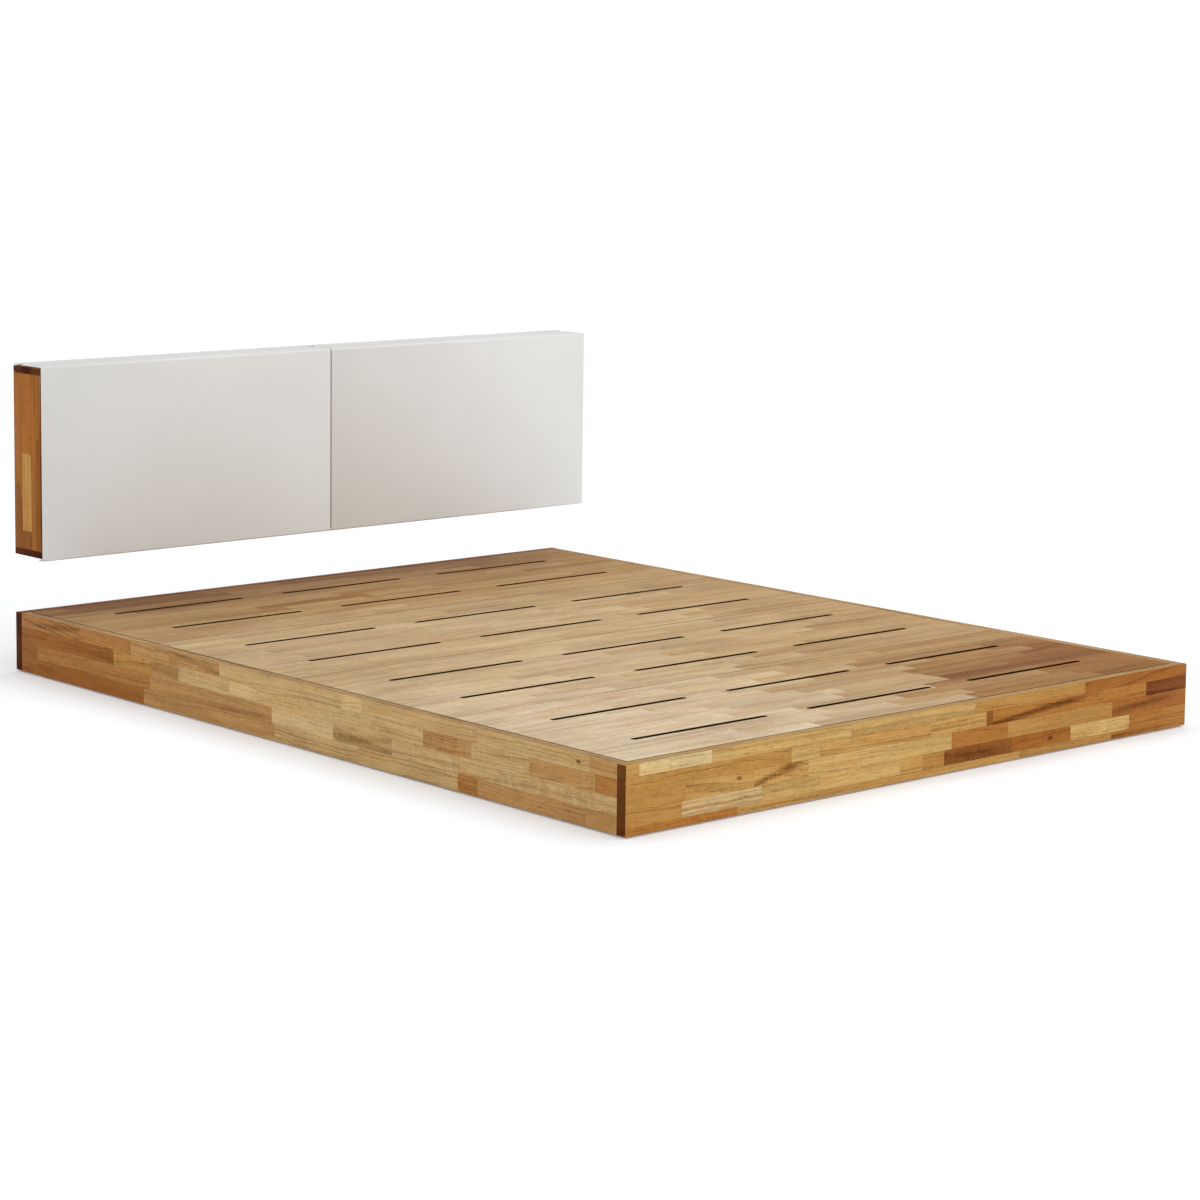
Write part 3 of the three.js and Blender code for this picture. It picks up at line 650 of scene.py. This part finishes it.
def slotted_slab_tree():
    """Draws a panel's outline and its slots, fills between them, and raises it to its thickness."""
    tree = bpy.data.node_groups.new("slotted_slab", "GeometryNodeTree")
    recipe = Recipe(tree)
    lengths = (
        "Length", "Width", "Thickness", "Slot length", "Slot width", "Column spacing", "Row spacing",
    )
    for length in lengths:
        tree.interface.new_socket(length, in_out="INPUT", socket_type="NodeSocketFloat")
    for count in ("Columns", "Rows"):
        tree.interface.new_socket(count, in_out="INPUT", socket_type="NodeSocketInt")
    tree.interface.new_socket("Place", in_out="INPUT", socket_type="NodeSocketVector")
    tree.interface.new_socket("Finish", in_out="INPUT", socket_type="NodeSocketMaterial")
    tree.interface.new_socket("Slab", in_out="OUTPUT", socket_type="NodeSocketGeometry")
    given = recipe.node("NodeGroupInput").outputs

    def spread(count, spacing):
        return (Reading(recipe, given[count]) - 1) * Reading(recipe, given[spacing])

    rim = recipe.node("GeometryNodeCurvePrimitiveQuadrilateral", {}, {
        "Width": given["Length"], "Height": given["Width"]})
    slot = recipe.node("GeometryNodeCurvePrimitiveQuadrilateral", {}, {
        "Width": given["Slot length"], "Height": given["Slot width"]})
    round_slot = recipe.node("GeometryNodeFilletCurve", {"mode": "POLY"}, {
        "Curve": slot.outputs[0], "Count": 6, "Radius": Reading(recipe, given["Slot width"]) * 0.49})
    places = recipe.node("GeometryNodeMeshGrid", {}, {
        "Size X": spread("Columns", "Column spacing"), "Size Y": spread("Rows", "Row spacing"),
        "Vertices X": given["Columns"], "Vertices Y": given["Rows"]})
    slots = recipe.node("GeometryNodeInstanceOnPoints", {}, {
        "Points": places.outputs[0], "Instance": round_slot.outputs[0]})
    loose = recipe.node("GeometryNodeRealizeInstances", {}, {0: slots.outputs[0]})
    drawing = recipe.node("GeometryNodeJoinGeometry", {}, {0: rim.outputs[0]})
    tree.links.new(loose.outputs[0], drawing.inputs[0])
    sheet = recipe.node("GeometryNodeFillCurve", {"mode": "NGONS"}, {"Curve": drawing.outputs[0]})
    raised = recipe.node("GeometryNodeExtrudeMesh", {"mode": "FACES"}, {
        "Mesh": sheet.outputs[0], "Offset Scale": given["Thickness"], "Individual": False})
    under = recipe.node("GeometryNodeFlipFaces", {}, {"Mesh": sheet.outputs[0]})
    shell = recipe.node("GeometryNodeJoinGeometry", {}, {0: raised.outputs[0]})
    tree.links.new(under.outputs[0], shell.inputs[0])
    welded = recipe.node("GeometryNodeMergeByDistance", {}, {
        "Geometry": shell.outputs[0], "Distance": 0.02 * MM})
    placed = recipe.node("GeometryNodeTransform", {}, {
        "Geometry": welded.outputs[0], "Translation": given["Place"]})
    real = recipe.node("GeometryNodeRealizeInstances", {}, {0: placed.outputs[0]})
    oiled = recipe.node("GeometryNodeSetMaterial", {}, {
        "Geometry": real.outputs[0], "Material": given["Finish"]})
    recipe.node("NodeGroupOutput", {}, {0: oiled.outputs[0]})
    return tree


def run_tree(tree, inputs):
    """Sets a shape tree's inputs by their identifiers and gives back the plain mesh it makes."""
    holder = bpy.data.objects.new("holder", bpy.data.meshes.new("holder"))
    bpy.context.scene.collection.objects.link(holder)
    modifier = holder.modifiers.new("shape", "NODES")
    modifier.node_group = tree
    for item in tree.interface.items_tree:
        if item.item_type == "SOCKET" and item.in_out == "INPUT" and item.name in inputs:
            modifier[item.identifier] = inputs[item.name]
    evaluated = holder.evaluated_get(bpy.context.evaluated_depsgraph_get())
    mesh = bpy.data.meshes.new_from_object(evaluated)
    holder.modifiers.remove(modifier)
    bpy.data.objects.remove(holder)
    return mesh


slotted_slab = slotted_slab_tree()


def lay_deck_panel(index):
    node = f"deck_panel_{index + 1}"
    low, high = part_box(node)
    middle = (low + high) / 2
    between = (SLOT_COLUMNS - 1) * SLOT_SPACING * MM
    slot_length = (high.x - low.x - 2 * SLOT_END_MARGIN * MM - between) / SLOT_COLUMNS
    slab = run_tree(slotted_slab, {
        "Length": high.x - low.x,
        "Width": high.y - low.y,
        "Thickness": high.z - low.z,
        "Slot length": slot_length,
        "Slot width": SLOT_WIDTH * MM,
        "Column spacing": slot_length + SLOT_SPACING * MM,
        "Row spacing": high.y - low.y - 2 * SLOT_EDGE_MARGIN * MM,
        "Columns": SLOT_COLUMNS,
        "Rows": SLOT_ROWS,
        "Place": (middle.x, middle.y, low.z),
        "Finish": deck_wood,
    })
    draw = random.Random(JOINT_SEED + index)
    rows = []
    for height in [STAVE_HEIGHT * (row + 1) for row in range(STAVE_ROWS)]:
        ends, place = [], draw.uniform(*FIRST_STAVE)
        while place < LAST_JOINT:
            ends.append(place)
            place += draw.uniform(*STAVE_LENGTH)
        staves, start = [], 0
        for end in ends + [PANEL_END]:
            from_foot = index * PANEL_PITCH + PANEL_PITCH - height
            # brown is partly painted shade towards the head end; pale is a painted sheen towards the
            # foot's left corner
            brown, pale = deck_tone_shade_and_sheen((start + end) / 2, from_foot)
            brown = min(1, max(0, brown * draw.uniform(0.75, 1.25)))
            tone = blend(draw.choice(DECK_TONES), draw.choice(PALE_DECK_TONES), pale)
            tone = blend(tone, draw.choice(BROWN_DECK_TONES), brown)
            heart = (draw.random(), draw.random(), 0.15 + 0.4 * brown * draw.random())
            staves.append((end, tone, 0.2 + draw.random() * 0.6, draw.uniform(-0.05, 0.05), heart))
            start = end
        rows.append((height, tuple(staves)))
    work = bmesh.new()
    work.from_mesh(slab)
    staved_board(
        node, 0, 1, tuple(rows), GRAIN_SEED + index, deck_wood, work=work,
        arris=PANEL_EASE * MM, painted_shade_tone=SLOT_SHADE_TONE,
    )


PANELS = 4
for panel in range(PANELS):
    lay_deck_panel(panel)

# ------------------------------------------------------------------ headboard box
# A shallow box of 16 mm butcher block: full-width top and bottom boards, upright end panels and
# a divider between them, and a thin birch plywood back let in from behind.

AMBER_HEART = (158, 96, 34)
END_ROWS = (
    (25, ((150, "brown", 0.4), (407.5, AMBER_HEART, 0.4))),
    (35, ((120, "brown", 0.3), (407.5, "russet", 0.3))),
    (73, ((42, "brown", 0.4), (222, (182, 134, 68), 0.2), (407.5, AMBER_HEART, 0.6))),
    (93, ((170, (150, 94, 38), 0.4), (407.5, AMBER_HEART, 0.5))),
    (114, ((260, "brown", 0.3), (407.5, "russet", 0.3))),
)
BOX_TONES = ("chestnut", "russet", "russet", "brown", "umber", "dark")
BOX_HEIGHTS = (38, 76, 113.5)

upright_wood = wood("oiled_staves_upright", 2, 1)
lying_wood = wood("oiled_staves_lying", 0, 1)
for side, seed in (("left", 31), ("right", 32)):
    staved_board(f"box_end_{side}", 2, 1, END_ROWS, seed, upright_wood, "headboard")
divider_rows = random_rows(33, 407, (30, 62, 87), BOX_TONES, 90, 260)
staved_board("box_divider", 2, 1, divider_rows, 34, upright_wood, "headboard")
for level, seed in (("top", 35), ("bottom", 36)):
    rows = random_rows(seed, 1650, BOX_HEIGHTS, BOX_TONES)
    staved_board(f"box_{level}_board", 0, 1, rows, seed, lying_wood, "headboard")

# ------------------------------------------------------------------ folded fronts and rear strip
# Steel sheet, 2.5 mm, folded at the top and bottom and powder coated in a warm white that is
# finely dimpled like orange peel. The fixed strip behind the hinges is coated to match.

COAT = colour(216, 216, 214)
DULLER = 0.955                   # where the coat drifts darker
SHEET_EASE = 0.35 * MM
SHEET_FACETS = 40                # only arrises sharper than this are eased, in degrees


def powder_coat():
    material, recipe, shader = finish_recipe("warm_white_coat")
    place = recipe.node("ShaderNodeTexCoord").outputs["Object"]
    peel = recipe.noise(place, 900.0, 2.0)
    drift = recipe.noise(place, 2.2, 3.0)
    shade = recipe.mix(drift.ramp(0.35, 0.7), COAT, [part * DULLER for part in COAT[:3]] + [1])
    bump = recipe.node("ShaderNodeBump", {}, {"Strength": 0.12, "Distance": 0.1 * MM, "Height": peel})
    rough = 0.36 + (drift - 0.5) * 0.08 + (peel - 0.5) * 0.08
    set_shader(recipe, shader, Base_Color=shade, Roughness=rough, Normal=bump.outputs[0])
    return material


coat = powder_coat()
for node, body in (
    ("front_left", "left_front"),
    ("front_right", "right_front"),
    ("rear_strip", "headboard"),
):
    add_piece(
        merged_copy(node), node + "_sheet", body, coat, node,
        arris=SHEET_EASE, facets=SHEET_FACETS,
    )

# ------------------------------------------------------------------ frame timber under the deck
# Planed softwood, unfinished: cleats, corner blocks, beams lapped into each other, turned legs.
# The box's thin back is birch plywood, and the two bevelled rails that carry the box are oiled.

SOFTWOOD = {"ring_pitch": 5.5, "oil": 0.62, "strength": 0.6}
softwood_across = wood("planed_softwood_across", 0, 2, plain=(214, 186, 140), **SOFTWOOD)
softwood_along = wood("planed_softwood_along", 1, 2, plain=(212, 183, 138), **SOFTWOOD)
softwood_upright = wood("planed_softwood_upright", 2, 0, plain=(216, 188, 144), **SOFTWOOD)
birch_ply = wood("birch_plywood", 0, 2, plain=(214, 194, 158), ring_pitch=9.0, oil=0.6, strength=0.3)
hanger_wood = wood("oiled_hanging_rails", 0, 2, plain=(166, 114, 60), oil=0.45, strength=0.8)


def dress(node, finish):
    """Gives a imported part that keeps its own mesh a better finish."""
    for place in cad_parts[node].material_slots:
        place.material = finish


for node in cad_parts:
    if node.startswith(("cross_beam", "foot_cleat", "head_cleat")):
        dress(node, softwood_across)
    elif node.startswith(("side_cleat", "centre_beam")):
        dress(node, softwood_along)
    elif node.startswith(("corner_block", "centre_leg")):
        dress(node, softwood_upright)
    elif node == "box_back":
        dress(node, birch_ply)
    elif node in ("hanging_rail", "wall_rail"):
        dress(node, hanger_wood)

# ------------------------------------------------------------------ hinges, bolts, magnets
# Two continuous hinges, coated with the fronts, turn on zinc-plated pins. Zinc too are the eight
# corner bolts, the two magnets and their plates: cloudy, and lightly drawn along the metal.


def zinc_plate():
    material, recipe, shader = finish_recipe("zinc_plate")
    place = recipe.node("ShaderNodeTexCoord").outputs["Object"]
    cloud = recipe.noise(place, 60.0, 3.0, 0.5)
    drawn = recipe.node("ShaderNodeMapping", {}, {"Vector": place, "Scale": (30, 900, 900)}).outputs[0]
    hairs = recipe.noise(drawn, 1.0, 2.0)
    shade = recipe.mix(cloud.ramp(0.3, 0.7), (0.42, 0.43, 0.45, 1), (0.6, 0.6, 0.61, 1))
    rough = 0.3 + cloud * 0.12 + (hairs - 0.5) * 0.12
    set_shader(recipe, shader, Base_Color=shade, Roughness=rough, Metallic=1.0)
    return material


def pressed_felt():
    material, recipe, shader = finish_recipe("pressed_felt")
    place = recipe.node("ShaderNodeTexCoord").outputs["Object"]
    fuzz = recipe.noise(place, 1400.0, 3.0)
    shade = recipe.mix(fuzz.ramp(0.35, 0.7), (0.05, 0.045, 0.04, 1), (0.12, 0.11, 0.1, 1))
    bump = recipe.node("ShaderNodeBump", {}, {"Strength": 0.5, "Distance": 0.3 * MM, "Height": fuzz})
    set_shader(recipe, shader, Base_Color=shade, Roughness=0.95, Normal=bump.outputs[0])
    return material


zinc = zinc_plate()
felt = pressed_felt()
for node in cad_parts:
    if node.startswith(("hinge_fixed", "hinge_moving")):
        dress(node, coat)
    elif node.startswith(("hinge_pin", "bolt", "magnet")):
        dress(node, zinc)
    elif node.startswith("glide"):
        dress(node, felt)

# ------------------------------------------------------------------ screws
# Countersunk cross-head screws, zinc plated: through the cleats into the rails, through the back
# panel into the divider, and through the two bevelled rails that carry the headboard.

SCREW_SIDES = 16
SCREW_HEAD = 4.2
SCREW_SHANK = 2.2
COUNTERSINK = 1.6
SCREW_PROUD = 0.25
SCREW_BEVEL = 0.3
RECESS = (2.3, 0.9, 0.9, 2.3)    # the cross, corner by corner
RECESS_DEPTH = 1.2
RECESS_TAPER = 0.7


def screw_head():
    """One head facing +Z, its rim level with the wood, with a tapering cross recess."""
    work = bmesh.new()

    def ring(radii, height):
        corners = []
        for step in range(SCREW_SIDES):
            angle = math.radians((step + 0.5) * 360 / SCREW_SIDES)
            radius = radii[step % len(radii)] * MM
            corner = (radius * math.cos(angle), radius * math.sin(angle), height * MM)
            corners.append(work.verts.new(corner))
        return corners

    rings = [
        ring((SCREW_SHANK,), -COUNTERSINK),
        ring((SCREW_HEAD,), 0.0),
        ring((SCREW_HEAD - SCREW_BEVEL,), SCREW_PROUD),
        ring(RECESS, SCREW_PROUD),
        ring([radius * RECESS_TAPER for radius in RECESS], -RECESS_DEPTH),
    ]
    for inner, outer in zip(rings, rings[1:]):
        for step in range(SCREW_SIDES):
            after = (step + 1) % SCREW_SIDES
            work.faces.new((inner[step], inner[after], outer[after], outer[step]))
    work.faces.new(list(reversed(rings[0])))
    work.faces.new(rings[-1])
    mesh = bpy.data.meshes.new("screw_head")
    work.to_mesh(mesh)
    work.free()
    return bpy.data.objects.new("screw_head", mesh)


def screw_row_tree():
    """Sets screws in a straight row, all facing one way."""
    tree = bpy.data.node_groups.new("screw_row", "GeometryNodeTree")
    recipe = Recipe(tree)
    for name, kind in (
        ("Start", "Vector"), ("End", "Vector"), ("Facing", "Vector"), ("Count", "Int"),
        ("Head", "Object"), ("Finish", "Material"),
    ):
        tree.interface.new_socket(name, in_out="INPUT", socket_type="NodeSocket" + kind)
    tree.interface.new_socket("Screws", in_out="OUTPUT", socket_type="NodeSocketGeometry")
    given = recipe.node("NodeGroupInput").outputs
    line = recipe.node("GeometryNodeMeshLine", {"mode": "END_POINTS"}, {
        "Count": given["Count"], "Start Location": given["Start"], 3: given["End"]})
    head = recipe.node("GeometryNodeObjectInfo", {}, {"Object": given["Head"]})
    turn = recipe.node("FunctionNodeAlignRotationToVector", {"axis": "Z"}, {"Vector": given["Facing"]})
    row = recipe.node("GeometryNodeInstanceOnPoints", {}, {
        "Points": line.outputs[0], "Instance": head.outputs["Geometry"], "Rotation": turn.outputs[0]})
    real = recipe.node("GeometryNodeRealizeInstances", {}, {0: row.outputs[0]})
    plated = recipe.node("GeometryNodeSetMaterial", {}, {
        "Geometry": real.outputs[0], "Material": given["Finish"]})
    recipe.node("NodeGroupOutput", {}, {0: plated.outputs[0]})
    return tree


head_shape = screw_head()
screw_row = screw_row_tree()


def set_screws(name, body, rows):
    """Rows of (node, axis the row follows, side it faces, count, how far from each end, height)."""
    work = bmesh.new()
    for node, follow, facing, count, end_room, height in rows:
        low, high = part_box(node)
        face = next(axis for axis in range(3) if facing[axis])
        start = (low + high) / 2
        start[face] = high[face] if facing[face] > 0 else low[face]
        start[2] = low[2] + (high[2] - low[2]) * height
        end = start.copy()
        start[follow] = low[follow] + (high[follow] - low[follow]) * end_room
        end[follow] = high[follow] - (high[follow] - low[follow]) * end_room
        mesh = run_tree(screw_row, {
            "Start": start, "End": end, "Facing": facing, "Count": count,
            "Head": head_shape, "Finish": zinc,
        })
        work.from_mesh(mesh)
        bpy.data.meshes.remove(mesh)
    return add_piece(work, name, body, zinc, arris=0)


set_screws("frame_screws", "platform", (
    ("side_cleat_left", 1, (1, 0, 0), 9, 0.03, 0.5),
    ("side_cleat_right", 1, (-1, 0, 0), 9, 0.03, 0.5),
    ("foot_cleat", 0, (0, 1, 0), 7, 0.04, 0.5),
    ("head_cleat", 0, (0, -1, 0), 7, 0.04, 0.5),
    ("wall_rail", 0, (0, -1, 0), 6, 0.06, 0.4),
))
set_screws("box_screws", "headboard", (
    ("box_back", 0, (0, 1, 0), 9, 0.01, 0.04),
    ("box_back", 2, (0, 1, 0), 3, 0.1, 0.5),
    ("hanging_rail", 0, (0, 1, 0), 8, 0.05, 0.7),
))
bpy.data.objects.remove(head_shape)
